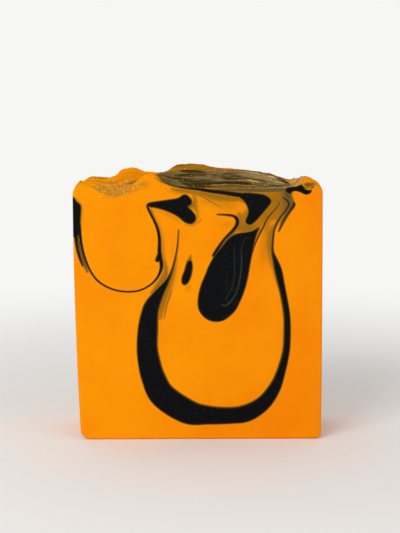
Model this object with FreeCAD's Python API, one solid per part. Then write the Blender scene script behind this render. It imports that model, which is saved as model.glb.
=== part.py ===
"""Slice of handmade soap with a spoon-worked top and a dark pour in its cut faces.

Millimetres, +Z up. The slice stands on its foot as it was cast, with its cut faces towards -Y and +Y,
and its origin is at the middle of its foot. It is one solid.
"""
import FreeCAD, Part
import math
import os
from dataclasses import dataclass

Vector = FreeCAD.Vector

# The loaf, seen along the cut. Its two sides lie at these distances from its plumb line, at pour level.
LEFT_HALF = 38.7
RIGHT_HALF = 38.2
POUR_LEVEL = 79.6
SLICE_THICKNESS = 26.0

# The sides of the loaf: the mould's draft at the foot, and how far each side bows out between.
LEFT_DRAW_IN = 1.5
RIGHT_FLARE = 0.65
LEFT_BOW = 0.5
RIGHT_BOW = 0.12
LEFT_SIDE = (LEFT_HALF, -LEFT_DRAW_IN, LEFT_BOW)
RIGHT_SIDE = (RIGHT_HALF, RIGHT_FLARE, RIGHT_BOW)

# Rounded edges.
LEFT_FOOT_RADIUS = 3.2
RIGHT_FOOT_RADIUS = 2.0
SHOULDER_RADIUS = 2.6
CUT_EDGE_BEVEL = 0.5

# The worked top: the spacing and overlap of its control net, and the stock that is cut away above it.
NET_STEP = 3.4
NET_MARGIN = 4.0
SPOON_STOCK = 12.0
SPLINE_DEGREE = 3

# Two places closer than this count as the same.
FLAT = 1e-4

# How far the dark pour wanders to the right between the front cut and the back one.
POUR_WANDER = 1.2


@dataclass(frozen=True)
class SpoonStroke:
    """One push or lift of the spoon, as a rounded hill or hollow on the poured top."""

    across: float       # middle of the stroke, along X
    depth: float        # middle of the stroke, behind the front cut
    half_length: float
    half_width: float
    rise: float         # above the pour level, or below it where negative
    heading: float      # degrees, turned from X towards the back
    firmness: float     # 1 is a soft hill, and more gives a flatter top with steeper flanks

    def height(self, x, y):
        """Height that the stroke adds at a point of the top."""
        turn = math.radians(self.heading)
        along = (x - self.across) * math.cos(turn) + (y - self.depth) * math.sin(turn)
        aside = (y - self.depth) * math.cos(turn) - (x - self.across) * math.sin(turn)
        reach = (along / self.half_length) ** 2 + (aside / self.half_width) ** 2
        return self.rise * math.exp(-reach ** self.firmness)


# Places near a side are measured from that side, so they follow it.
SPOON_STROKES = {
    "left shoulder": SpoonStroke(-LEFT_HALF + 3.7, 12.0, 5.0, 18.0, 1.9, 0.0, 1.0),
    "scoop": SpoonStroke(-LEFT_HALF + 12.7, -2.0, 6.6, 9.0, -2.6, 5.0, 1.4),
    "left knob": SpoonStroke(-LEFT_HALF + 16.8, 17.5, 3.9, 5.5, 4.7, 0.0, 2.2),
    "front lip": SpoonStroke(-LEFT_HALF + 24.1, 1.0, 5.0, 4.2, 5.1, 10.0, 1.0),
    "saddle": SpoonStroke(-13.0, 15.0, 6.5, 10.0, 3.4, 0.0, 1.0),
    "front fold": SpoonStroke(6.0, 9.5, 18.5, 5.0, 3.6, -1.0, 2.2),
    "crest left": SpoonStroke(-3.4, 17.5, 6.2, 5.0, 4.0, -4.0, 2.2),
    "crest right": SpoonStroke(10.5, 17.5, 15.0, 5.5, 4.5, -5.0, 1.3),
    "right peak": SpoonStroke(RIGHT_HALF - 4.2, 9.0, 4.2, 12.0, 3.0, 0.0, 1.4),
    "back ledge": SpoonStroke(0.0, SLICE_THICKNESS + 2.0, 60.0, 8.0, 1.1, 0.0, 1.0),
}


# The three large drops of the dark pour on the front cut, as (X, Z) places. The swag is a stroke,
# so each of its stations has a half width too.
SWAG_STATIONS = (
    (-9.1, 52.0, 0.5), (-12.4, 46.7, 1.5), (-15.2, 40.0, 2.6), (-16.1, 30.0, 3.1), (-14.2, 20.0, 3.6),
    (-11.2, 14.2, 4.0), (-3.5, 9.0, 3.8), (3.0, 7.85, 2.95), (10.0, 7.7, 2.6), (15.3, 8.5, 2.75),
    (20.3, 11.6, 2.3), (23.7, 16.2, 1.85), (27.0, 26.0, 1.1), (27.7, 34.0, 1.0), (26.5, 46.0, 0.9),
    (24.7, 54.0, 1.1), (22.9, 60.0, 0.35),
)
TEARDROP_OUTLINE = (
    (18.7, 67.6), (14.5, 66.0), (10.8, 65.2), (7.0, 61.3), (3.0, 55.1), (0.9, 49.9), (-0.2, 44.3),
    (1.1, 40.1), (6.1, 38.0), (10.0, 40.0), (13.7, 46.3), (15.5, 53.3), (16.5, 59.2),
)
ARROW_OUTLINE = (
    (-15.8, 74.5), (-12.3, 76.0), (-6.2, 76.5), (-4.2, 77.6), (-2.1, 75.8), (-2.8, 74.0), (-1.0, 71.3),
    (-1.9, 68.9), (-4.3, 69.3), (-8.0, 71.9), (-12.7, 73.7),
)


def side_point(side, height):
    """Point of a side of the loaf, left (-1) or right (1), in the plane of the front cut."""
    half, foot_shift, bow = LEFT_SIDE if side < 0 else RIGHT_SIDE
    share = height / POUR_LEVEL
    reach = half + foot_shift * (1.0 - share) + 4.0 * bow * share * (1.0 - share)
    return Vector(side * reach, 0.0, height)


def slice_profile(height):
    """Closed outline of the slice in the plane of the front cut, straight across at the given height."""
    left = [side_point(-1.0, share * height) for share in (0.0, 0.5, 1.0)]
    right = [side_point(1.0, share * height) for share in (0.0, 0.5, 1.0)]
    edges = [
        Part.LineSegment(left[0], right[0]).toShape(),
        Part.Arc(*right).toShape(),
        Part.LineSegment(right[2], left[2]).toShape(),
        Part.Arc(*left[::-1]).toShape(),
    ]
    return Part.Wire(edges)


def cast_block():
    """The slice before the spoon, with its foot corners rounded by the mould."""
    face = Part.Face(slice_profile(POUR_LEVEL + SPOON_STOCK))
    block = face.extrude(Vector(0.0, SLICE_THICKNESS, 0.0))
    block = block.makeFillet(LEFT_FOOT_RADIUS, [foot_edge(block, -1.0)])
    return block.makeFillet(RIGHT_FOOT_RADIUS, [foot_edge(block, 1.0)])


def bevel_cut_edges(block):
    """Bevel the edges that the cutting wire leaves down both sides and along the foot."""
    cut_edges = []
    for edge in block.Edges:
        box = edge.BoundBox
        on_front = abs(box.YMax) < FLAT
        on_back = abs(box.YMin - SLICE_THICKNESS) < FLAT
        below_top = box.ZMin < POUR_LEVEL
        if (on_front or on_back) and below_top:
            cut_edges.append(edge)
    return block.makeChamfer(CUT_EDGE_BEVEL, cut_edges).Solids[0]


def foot_edge(shape, side):
    """The edge that runs through the slice at its foot, on the left (-1) or on the right (1)."""
    through = [edge for edge in shape.Edges if runs_through(edge)]
    return min(through, key=lambda edge: edge.CenterOfMass.z - side * edge.CenterOfMass.x)


def runs_through(edge):
    """Whether an edge runs from the front cut to the back one."""
    box = edge.BoundBox
    return box.YLength > SLICE_THICKNESS / 2.0 and box.XLength < SLICE_THICKNESS / 2.0


def top_height(x, y):
    """Height of the worked top at a point."""
    return POUR_LEVEL + sum(stroke.height(x, y) for stroke in SPOON_STROKES.values())


def even_steps(first, last):
    """Places from first to last, about one net step apart."""
    count = math.ceil((last - first) / NET_STEP)
    return [first + (last - first) * index / count for index in range(count + 1)]


def clamped_knots(pole_count):
    """Even knots and their multiplicities for a spline that reaches its first and last pole."""
    inner = pole_count - SPLINE_DEGREE - 1
    knots = list(range(inner + 2))
    multiplicities = [SPLINE_DEGREE + 1] + [1] * inner + [SPLINE_DEGREE + 1]
    return knots, multiplicities


def top_skin():
    """The worked top as one smooth surface, a little wider than the slice all round."""
    columns = even_steps(-LEFT_HALF - NET_MARGIN, RIGHT_HALF + NET_MARGIN)
    rows = even_steps(-NET_MARGIN, SLICE_THICKNESS + NET_MARGIN)
    net = [[Vector(x, y, top_height(x, y)) for y in rows] for x in columns]
    knots_x, counts_x = clamped_knots(len(columns))
    knots_y, counts_y = clamped_knots(len(rows))
    surface = Part.BSplineSurface()
    surface.buildFromPolesMultsKnots(
        net, counts_x, counts_y, knots_x, knots_y, False, False, SPLINE_DEGREE, SPLINE_DEGREE
    )
    return surface.toShape()


def work_top(block):
    """Cut the poured block down to the worked top."""
    spooned_off = top_skin().extrude(Vector(0.0, 0.0, 2.0 * SPOON_STOCK))
    return block.cut(spooned_off).Solids[0]


def round_shoulders(body):
    """Round the two edges where the top meets the sides of the loaf."""
    high = [edge for edge in body.Edges if runs_through(edge) and edge.CenterOfMass.z > POUR_LEVEL / 2.0]
    left = min(high, key=lambda edge: edge.CenterOfMass.x)
    right = max(high, key=lambda edge: edge.CenterOfMass.x)
    return body.makeFillet(SHOULDER_RADIUS, [left, right]).Solids[0]


def spindle(stations):
    """Outline of a stroke of the pour, from the middle of each station and its half width."""
    left_bank = []
    right_bank = []
    for index, (x, z, half_width) in enumerate(stations):
        before = stations[max(index - 1, 0)]
        after = stations[min(index + 1, len(stations) - 1)]
        run = math.hypot(after[0] - before[0], after[1] - before[1])
        across = half_width * (before[1] - after[1]) / run
        up = half_width * (after[0] - before[0]) / run
        left_bank.append((x + across, z + up))
        right_bank.append((x - across, z - up))
    return left_bank + right_bank[::-1]


def pour_outlines():
    """Every large outline of the dark pour on the front cut."""
    return (spindle(SWAG_STATIONS), TEARDROP_OUTLINE, ARROW_OUTLINE)


def pour_face(outline, shift, depth):
    """Flat face inside a smooth closed outline, shifted along X and set at a depth."""
    points = [Vector(x + shift, depth, z) for x, z in outline]
    curve = Part.BSplineCurve()
    curve.interpolate(Points=points, PeriodicFlag=True)
    return Part.Face(Part.Wire([curve.toShape()]))


def mark_pour(body):
    """Split both cut faces along the outlines of the dark pour, which runs through the slice."""
    fields = []
    for outline in pour_outlines():
        fields.append(pour_face(outline, 0.0, 0.0))
        fields.append(pour_face(outline, POUR_WANDER, SLICE_THICKNESS))
    marked, _ = body.generalFuse(fields)
    return marked.Solids[0]


def centre_on_foot(body):
    """Move the slice so that the middle of its box stands on the origin."""
    box = body.optimalBoundingBox(False, False)
    moved = body.copy()
    moved.translate(Vector(-box.Center.x, -box.Center.y, -box.ZMin))
    return moved


def main():
    """Build the slice and write it."""
    body = bevel_cut_edges(cast_block())
    body = work_top(body)
    body = round_shoulders(body)
    body = mark_pour(body)
    body = centre_on_foot(body)
    os.makedirs("parts", exist_ok=True)
    body.exportStep("parts/soap_bar.step")
    box = body.optimalBoundingBox(False, False)
    print("soap_bar: valid", body.isValid(), "faces", len(body.Faces))
    print("size", round(box.XLength, 2), round(box.YLength, 2), round(box.ZLength, 2))
    print("volume", round(body.Volume / 1000.0, 2), "cm3")


main()
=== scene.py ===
"""Looks of one slice of handmade loaf soap: orange soap, a black pour and a spoon-worked top."""

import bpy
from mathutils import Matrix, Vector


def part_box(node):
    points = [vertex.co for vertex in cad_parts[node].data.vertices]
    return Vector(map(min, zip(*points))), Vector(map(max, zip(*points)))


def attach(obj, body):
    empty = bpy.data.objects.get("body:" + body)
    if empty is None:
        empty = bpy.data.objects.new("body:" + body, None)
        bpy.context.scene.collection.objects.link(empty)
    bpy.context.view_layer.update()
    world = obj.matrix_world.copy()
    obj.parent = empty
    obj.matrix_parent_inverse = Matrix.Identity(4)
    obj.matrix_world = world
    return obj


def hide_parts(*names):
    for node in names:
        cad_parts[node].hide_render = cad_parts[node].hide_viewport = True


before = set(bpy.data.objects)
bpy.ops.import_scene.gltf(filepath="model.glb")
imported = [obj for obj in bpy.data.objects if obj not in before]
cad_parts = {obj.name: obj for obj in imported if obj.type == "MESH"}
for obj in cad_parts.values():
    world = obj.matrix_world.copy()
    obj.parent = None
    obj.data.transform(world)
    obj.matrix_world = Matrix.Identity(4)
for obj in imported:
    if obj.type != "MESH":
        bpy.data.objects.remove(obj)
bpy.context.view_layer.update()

import logging
import math
from collections.abc import Sequence
from dataclasses import dataclass
from enum import Enum
from typing import Any

import bpy
import numpy as np
from mathutils import Matrix, Vector
from mathutils.bvhtree import BVHTree

LOG = logging.getLogger("soap")
MM = 0.001
CAD_NODE = "soap_bar"
BODY = "root"

# The pour is placed from the loaf's plumb line, which stands this far from the middle of the slice (mm).
PLUMB_LINE = -0.06
LINE_STEP = 0.8     # mm between the places of a drawn line


class Skin(Enum):
    """The six sides of the slice."""

    FRONT = 0
    BACK = 1
    LEFT = 2
    RIGHT = 3
    TOP = 4
    FOOT = 5


def linear(code: str) -> tuple[float, float, float, float]:
    """Turn an sRGB hex colour into linear light.

    Args:
        code: Six hex digits, such as "fb9500".

    Returns:
        Red, green, blue and an alpha of one.
    """
    shares = [int(code[at:at + 2], 16) / 255.0 for at in (0, 2, 4)]
    light = [share / 12.92 if share <= 0.04045 else ((share + 0.055) / 1.055) ** 2.4 for share in shares]
    return (light[0], light[1], light[2], 1.0)


def blank_material(name: str) -> tuple[bpy.types.Material, bpy.types.NodeTree]:
    """Start a material whose node tree is empty, and give both."""
    material = bpy.data.materials.new(name)
    material.use_nodes = True
    material.node_tree.nodes.clear()
    return material, material.node_tree


def put_in_scene(name: str, data: bpy.types.ID) -> bpy.types.Object:
    """Make an object of some data and put it in the scene."""
    thing = bpy.data.objects.new(name, data)
    bpy.context.scene.collection.objects.link(thing)
    return thing


def write_layer(mesh: bpy.types.Mesh, name: str, kind: str, domain: str, values: np.ndarray) -> None:
    """Write an attribute on a mesh.

    Args:
        mesh: The mesh that gets it.
        name: The attribute's name.
        kind: FLOAT, FLOAT_VECTOR or FLOAT_COLOR.
        domain: POINT or CORNER.
        values: One number, or one row of numbers, for each place or corner.
    """
    field = {"FLOAT": "value", "FLOAT_VECTOR": "vector", "FLOAT_COLOR": "color"}[kind]
    layer = mesh.attributes.new(name, kind, domain)
    layer.data.foreach_set(field, values.astype(np.float32).ravel())


def add_node(tree: bpy.types.NodeTree, kind: str, inputs: dict | None = None,
             **settings: Any) -> bpy.types.Node:
    """Add a node with its settings and links.

    Args:
        tree: The tree that gets the node.
        kind: The node's type name.
        inputs: Sockets by name or number, each with a value or with the output that feeds it.
        settings: Properties of the node.

    Returns:
        The new node.
    """
    node = tree.nodes.new(kind)
    for name, value in settings.items():
        setattr(node, name, value)
    for key, value in (inputs or {}).items():
        socket = node.inputs[key]
        if isinstance(value, bpy.types.NodeSocket):
            tree.links.new(value, socket)
        else:
            socket.default_value = value
    return node


def lattice_noise(x: np.ndarray, y: np.ndarray, seed: int) -> np.ndarray:
    """Smooth noise with about one bump per unit.

    Args:
        x: First coordinate, in bumps.
        y: Second coordinate, in bumps.
        seed: Number that fixes the pattern.

    Returns:
        One value between -1 and 1 for each place.
    """
    size = 128
    table = np.random.default_rng(seed).uniform(-1.0, 1.0, (size, size))
    column = np.floor(x).astype(int)
    row = np.floor(y).astype(int)
    across = x - column
    along = y - row
    across = across * across * (3.0 - 2.0 * across)
    along = along * along * (3.0 - 2.0 * along)
    next_column = (column + 1) % size
    next_row = (row + 1) % size
    column = column % size
    row = row % size
    near = table[column, row] * (1.0 - across) + table[next_column, row] * across
    far = table[column, next_row] * (1.0 - across) + table[next_column, next_row] * across
    return near * (1.0 - along) + far * along


def layered_noise(x: np.ndarray, y: np.ndarray, seed: int, layers: int = 3) -> np.ndarray:
    """Noise with finer, weaker layers on top of each other, between about -1 and 1."""
    total = np.zeros(np.broadcast(x, y).shape)
    strength = 1.0
    for layer in range(layers):
        scale = 2.0 ** layer
        finer = lattice_noise(x * scale + 17.3 * layer, y * scale + 5.9 * layer, seed + layer)
        total = total + strength * finer
        strength *= 0.5
    return total / 1.5


def rise(low: float, high: float, value: np.ndarray) -> np.ndarray:
    """Go smoothly from 0 at low to 1 at high."""
    share = np.clip((value - low) / (high - low), 0.0, 1.0)
    return share * share * (3.0 - 2.0 * share)


def bump(x: np.ndarray, z: np.ndarray, spot: Sequence[float]) -> np.ndarray:
    """Soft round patch of 1 at its middle, for a spot of (middle, middle, half length, half width)."""
    return np.exp(-((x - spot[0]) / spot[2]) ** 2 - ((z - spot[1]) / spot[3]) ** 2)


def flowing_line(points: np.ndarray, closed: bool) -> np.ndarray:
    """Run one smooth line through a few given points (Catmull-Rom).

    Args:
        points: Rows of coordinates, and of a half width where there is one.
        closed: Whether the line runs back to its first point.

    Returns:
        Rows like those of the points, about LINE_STEP apart.
    """
    if closed:
        padded = np.vstack([points[-1], points, points[0], points[1]])
    else:
        padded = np.vstack([2.0 * points[0] - points[1], points, 2.0 * points[-1] - points[-2]])
    rows = []
    for before, start, end, after in zip(padded, padded[1:], padded[2:], padded[3:]):
        pieces = max(math.ceil(np.linalg.norm((end - start)[:2]) / LINE_STEP), 2)
        for share in np.arange(pieces) / pieces:
            slope = 0.5 * (end - before)
            bend = before - 2.5 * start + 2.0 * end - 0.5 * after
            twist = 1.5 * (start - end) + 0.5 * (after - before)
            rows.append(start + slope * share + bend * share ** 2 + twist * share ** 3)
    if not closed:
        rows.append(points[-1])
    return np.array(rows)


@dataclass(frozen=True)
class Streak:
    """A drawn-out stroke of the pour, with its own width and edge on each bank.

    The left bank is on the left of somebody who walks along the stations.
    """

    name: str
    stations: tuple[tuple[float, float, float], ...]    # x, z and half width, in mm
    soft_left: float = 0.52
    soft_right: float = 0.52
    ink: float = 1.0

    def banks(self, x: np.ndarray, z: np.ndarray) -> tuple[np.ndarray, np.ndarray]:
        """Depth of each place inside the left bank and inside the right bank, in edge widths.

        Args:
            x: Places along X, in mm.
            z: Heights, in mm.

        Returns:
            Two arrays, positive inside their bank.
        """
        line = flowing_line(np.array(self.stations), False)
        best = np.full(x.shape, np.inf)
        side = np.zeros(x.shape)
        half = np.zeros(x.shape)
        capped = np.zeros(x.shape, bool)
        last = len(line) - 2
        for index in range(len(line) - 1):
            start, end = line[index], line[index + 1]
            run = end[:2] - start[:2]
            share = ((x - start[0]) * run[0] + (z - start[1]) * run[1]) / (run @ run)
            kept = np.clip(share, 0.0, 1.0)
            gap_x = x - start[0] - kept * run[0]
            gap_z = z - start[1] - kept * run[1]
            gap = gap_x * gap_x + gap_z * gap_z
            nearer = gap < best
            best = np.where(nearer, gap, best)
            side = np.where(nearer, run[0] * gap_z - run[1] * gap_x, side)
            half = np.where(nearer, start[2] + kept * (end[2] - start[2]), half)
            beyond = ((share < 0.0) & (index == 0)) | ((share > 1.0) & (index == last))
            capped = np.where(nearer, beyond, capped)
        away = np.sqrt(best)
        signed = np.where(side >= 0.0, away, -away)
        left = np.where(capped, half - away, half - signed) / self.soft_left
        right = np.where(capped, half - away, half + signed) / self.soft_right
        return left, right


@dataclass(frozen=True)
class Drop:
    """A closed drop of the pour."""

    name: str
    outline: tuple[tuple[float, float], ...]    # x and z, in mm
    soft: float = 0.52
    ink: float = 1.0

    def banks(self, x: np.ndarray, z: np.ndarray) -> tuple[np.ndarray, np.ndarray]:
        """Depth of each place inside the drop, in edge widths, given twice to match a streak's banks."""
        ring = flowing_line(np.array(self.outline), True)
        best = np.full(x.shape, np.inf)
        inside = np.zeros(x.shape, bool)
        for start, end in zip(ring, np.roll(ring, -1, axis=0)):
            run = end - start
            share = np.clip(((x - start[0]) * run[0] + (z - start[1]) * run[1]) / (run @ run), 0.0, 1.0)
            gap = (x - start[0] - share * run[0]) ** 2 + (z - start[1] - share * run[1]) ** 2
            best = np.minimum(best, gap)
            if start[1] != end[1]:
                crosses = (start[1] > z) != (end[1] > z)
                inside ^= crosses & (x < start[0] + (z - start[1]) * run[0] / run[1])
        depth = np.where(inside, np.sqrt(best), -np.sqrt(best)) / self.soft
        return depth, depth


# The pour on the front cut. Each entry was set from the way the black soap sank and folded.
POUR: tuple[Streak | Drop, ...] = (
    Drop("side stripe", (
        (-42.0, 77.6), (-38.4, 76.9), (-37.5, 75.7), (-36.5, 74.9), (-36.1, 73.8), (-36.35, 70.0),
        (-36.5, 67.0), (-36.9, 65.2), (-37.6, 64.4), (-38.6, 64.6), (-42.0, 66.0),
    )),
    Streak("stripe tail", (
        (-37.9, 66.4, 0.6), (-37.7, 63.5, 0.46), (-37.35, 61.0, 0.4), (-36.85, 58.8, 0.36),
        (-36.3, 57.0, 0.3), (-35.8, 55.6, 0.16),
    )),
    Streak("stripe core", ((-37.3, 65.8, 0.3), (-37.0, 63.0, 0.3), (-36.6, 60.4, 0.15)), 0.4, 0.4, 0.55),
    Streak("loop line", (
        (-36.8, 68.5, 0.5), (-36.55, 65.6, 0.44), (-36.2, 62.6, 0.36), (-35.5, 59.4, 0.3),
        (-34.5, 56.3, 0.26), (-33.3, 53.7, 0.24), (-31.7, 51.4, 0.23), (-29.6, 49.7, 0.22),
        (-27.0, 48.4, 0.21), (-24.3, 47.7, 0.21), (-21.5, 47.5, 0.21), (-18.7, 47.8, 0.21),
        (-16.5, 48.7, 0.21), (-14.5, 50.0, 0.23), (-13.1, 51.5, 0.26), (-12.2, 53.0, 0.33),
        (-11.6, 54.7, 0.44), (-11.5, 56.2, 0.52), (-11.85, 58.2, 0.58), (-12.1, 60.3, 0.54),
        (-12.05, 62.4, 0.46), (-12.1, 64.4, 0.43), (-12.4, 66.3, 0.4), (-12.95, 68.1, 0.37),
        (-13.7, 69.8, 0.34), (-14.7, 71.8, 0.31), (-15.4, 73.2, 0.3), (-15.8, 74.4, 0.3),
    ), 0.38, 0.38),
    Drop("loop spur", (
        (-12.2, 60.5), (-12.7, 59.2), (-13.4, 57.3), (-12.7, 56.9), (-11.8, 57.3), (-11.4, 59.0),
    )),
    Drop("arrow", (
        (-15.9, 74.5), (-15.5, 75.1), (-14.2, 75.4), (-12.3, 75.7), (-9.5, 76.1), (-6.4, 76.6), (-5.3, 77.3),
        (-4.2, 77.8), (-3.0, 77.1), (-2.1, 75.9), (-2.3, 74.6), (-3.4, 74.1), (-2.3, 73.0),
        (-1.0, 71.3), (-0.9, 69.9), (-1.9, 68.8), (-3.2, 68.8), (-4.5, 69.4), (-6.0, 70.7),
        (-8.0, 71.9), (-10.1, 72.8), (-12.7, 73.6), (-15.2, 74.0),
    )),
    Streak("swag", (
        (-6.2, 66.9, 0.02), (-6.4, 63.4, 0.07), (-6.7, 60.8, 0.1), (-7.3, 57.6, 0.15),
        (-8.3, 54.0, 0.28), (-9.1, 52.0, 0.42), (-10.2, 50.0, 0.7), (-12.4, 46.7, 1.5),
        (-14.5, 43.0, 2.3), (-15.3, 40.0, 2.6), (-15.8, 36.0, 3.0), (-16.1, 30.0, 3.15),
        (-15.5, 25.0, 3.4), (-14.2, 20.0, 3.65), (-11.2, 14.2, 4.0), (-3.5, 9.0, 3.85),
        (3.0, 7.85, 2.95), (10.0, 7.7, 2.6), (15.3, 8.5, 2.7), (20.3, 11.6, 2.3),
        (23.7, 16.2, 1.85), (25.7, 21.2, 1.35), (27.35, 28.0, 1.05), (27.7, 34.0, 1.0),
        (27.5, 40.0, 0.95), (26.5, 46.0, 0.9), (25.6, 50.0, 1.0), (24.7, 54.0, 1.1),
        (23.8, 57.0, 0.75), (22.9, 60.0, 0.32), (22.9, 63.0, 0.22), (23.2, 66.3, 0.2),
        (23.7, 67.8, 0.2), (24.5, 69.5, 0.2), (25.4, 71.0, 0.18), (26.5, 72.3, 0.2),
        (27.3, 73.6, 0.26), (27.8, 74.7, 0.3), (27.4, 75.7, 0.28), (26.6, 76.4, 0.2), (25.9, 76.9, 0.08),
    ), soft_left=0.8),
    Streak("outer thread", (
        (24.7, 66.3, 0.12), (25.4, 67.8, 0.2), (26.5, 70.0, 0.22), (27.6, 71.9, 0.25),
        (28.7, 73.4, 0.32), (29.4, 74.7, 0.34), (29.1, 75.4, 0.12),
    )),
    Drop("small drop", (
        (-2.8, 57.4), (-3.7, 56.4), (-4.4, 54.0), (-5.2, 51.8), (-5.1, 50.1), (-4.3, 49.6),
        (-3.2, 50.4), (-2.3, 52.6), (-1.9, 55.0), (-2.1, 56.8),
    ), 0.55, 0.97),
    Drop("teardrop", (
        (18.7, 67.6), (16.7, 66.5), (14.5, 66.0), (12.3, 65.7), (10.8, 65.2), (9.1, 63.9),
        (7.0, 61.3), (5.7, 59.8), (4.3, 57.7), (3.0, 55.1), (2.0, 52.5), (0.9, 49.9),
        (0.1, 46.9), (-0.2, 44.3), (0.0, 42.1), (1.1, 40.1), (2.6, 38.8), (4.3, 38.1),
        (6.1, 38.0), (8.0, 38.5), (10.0, 40.0), (11.6, 41.8), (12.7, 44.0), (13.7, 46.3),
        (14.4, 48.5), (14.9, 50.3), (15.5, 53.3), (15.9, 55.9), (16.5, 59.2), (17.3, 63.2), (18.0, 65.8),
    )),
    Streak("teardrop shadow", (
        (15.6, 56.5, 0.1), (16.5, 59.3, 0.16), (17.1, 61.5, 0.2), (18.0, 63.7, 0.2),
        (18.9, 65.6, 0.2), (20.0, 67.8, 0.2), (21.0, 70.0, 0.18), (22.1, 71.5, 0.16),
        (23.2, 72.8, 0.15), (24.3, 74.1, 0.12), (25.0, 75.5, 0.08),
    ), 0.25, 0.25, 0.85),
    Streak("hook", (
        (5.7, 71.6, 0.1), (7.9, 71.5, 0.2), (9.7, 71.35, 0.28), (11.0, 71.0, 0.35),
        (11.8, 70.2, 0.5), (12.0, 69.0, 0.5), (11.5, 67.8, 0.45), (10.4, 66.4, 0.4),
        (8.7, 64.7, 0.34), (7.3, 63.0, 0.34), (5.9, 60.9, 0.44), (4.6, 58.8, 0.4),
    )),
    # Partly a black line and partly painted shade: the dark band below the fold along the front rim.
    Streak("rim line and fold shade", (
        (-11.6, 82.2, 0.06), (-9.0, 80.9, 0.2), (-5.0, 80.0, 0.32), (-0.6, 79.5, 0.44), (2.0, 79.1, 0.5),
        (4.6, 78.7, 0.56), (8.0, 78.3, 0.62), (10.5, 77.9, 0.7), (13.0, 77.6, 0.7),
    ), 0.4, 0.3, 0.9),
    Drop("crest drop", (
        (8.0, 78.4), (12.0, 78.1), (15.0, 78.3), (19.5, 77.8), (21.2, 77.1), (22.2, 76.2),
        (22.3, 75.3), (21.5, 74.1), (20.0, 72.3), (18.5, 70.5), (17.0, 69.0), (16.0, 68.4),
        (15.0, 68.6), (14.4, 69.5), (14.8, 70.6), (15.3, 72.0), (15.2, 73.5), (14.3, 75.3),
        (12.5, 76.9), (10.5, 77.6),
    )),
    Drop("rim curl", (
        (26.3, 79.2), (27.6, 79.9), (28.9, 80.6), (30.4, 80.9), (31.6, 80.8), (32.3, 80.0), (33.0, 79.3),
        (34.0, 79.0), (34.7, 79.2), (34.5, 78.3), (33.6, 77.8), (32.6, 77.8), (31.4, 78.4), (30.0, 78.8),
        (28.9, 78.7), (28.2, 77.9), (27.4, 78.2),
    ), 0.25),
    Streak("mouth stain", ((26.8, 79.6, 0.4), (27.0, 78.2, 0.8), (27.8, 76.6, 0.5)), 0.8, 0.6, 0.4),
    Streak("upper wisp", (
        (-0.4, 77.9, 0.04), (2.0, 76.6, 0.08), (4.2, 75.3, 0.09), (6.8, 73.8, 0.05),
    ), 0.3, 0.3, 0.55),
    Streak("short wisp", ((8.8, 76.1, 0.05), (10.2, 75.9, 0.1), (11.7, 76.0, 0.05)), 0.3, 0.3, 0.55),
    Streak("rust mark", ((0.9, 70.4, 0.06), (0.4, 69.5, 0.1), (-0.3, 68.8, 0.06)), 0.3, 0.3, 0.5),
    Streak("inner brown line", (
        (-8.4, 48.0, 0.06), (-8.9, 46.0, 0.1), (-9.8, 43.4, 0.1), (-10.7, 39.0, 0.05),
    ), 0.35, 0.35, 0.6),
)

# Grey lines that the thick soap dragged through the teardrop as it sank.
DRAGS: tuple[Streak, ...] = (
    Streak("long drag", (
        (11.0, 62.0, 0.04), (11.1, 55.0, 0.08), (10.7, 50.0, 0.1), (8.4, 44.8, 0.04),
    ), ink=0.6),
    Streak("outer drag", (
        (13.2, 61.0, 0.04), (13.3, 56.0, 0.09), (12.9, 52.0, 0.12), (12.0, 48.0, 0.1),
        (10.5, 45.0, 0.12), (8.5, 43.0, 0.14), (7.0, 43.5, 0.04),
    ), ink=0.85),
    Streak("short drag", ((8.6, 54.0, 0.03), (8.9, 50.0, 0.07), (8.3, 46.5, 0.04)), ink=0.4),
    Streak("neck drag", ((14.9, 64.6, 0.04), (13.6, 62.6, 0.08), (13.1, 59.0, 0.04)), ink=0.5),
)

# Brown haze where black and orange ran together, and painted shade under the lip beside the scoop: middle (x,
# z), half sizes, all in mm, and its strength.
HAZE: tuple[tuple[float, float, float, float, float], ...] = (
    (-6.0, 78.6, 4.0, 1.1, 0.25),
    (3.0, 76.0, 5.0, 2.4, 0.25),
    (9.5, 74.4, 4.2, 2.6, 0.25),
    (-3.0, 74.0, 2.0, 1.2, 0.5),
    (24.6, 75.6, 3.2, 3.0, 0.25),
    (21.2, 67.4, 1.7, 4.0, 0.36),
    (20.0, 60.0, 1.7, 5.4, 0.26),
    (14.6, 67.2, 3.0, 1.5, 0.36),
    (-8.0, 60.0, 1.2, 4.5, 0.15),
    (8.6, 68.6, 2.6, 1.4, 0.2),
    (-3.4, 48.6, 1.6, 1.6, 0.2),
    # Partly amber haze, partly painted shade under the lip beside the scoop.
    (-17.4, 81.0, 3.0, 1.5, 0.3),
    (33.2, 80.0, 1.9, 0.7, 0.66),
)


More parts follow.
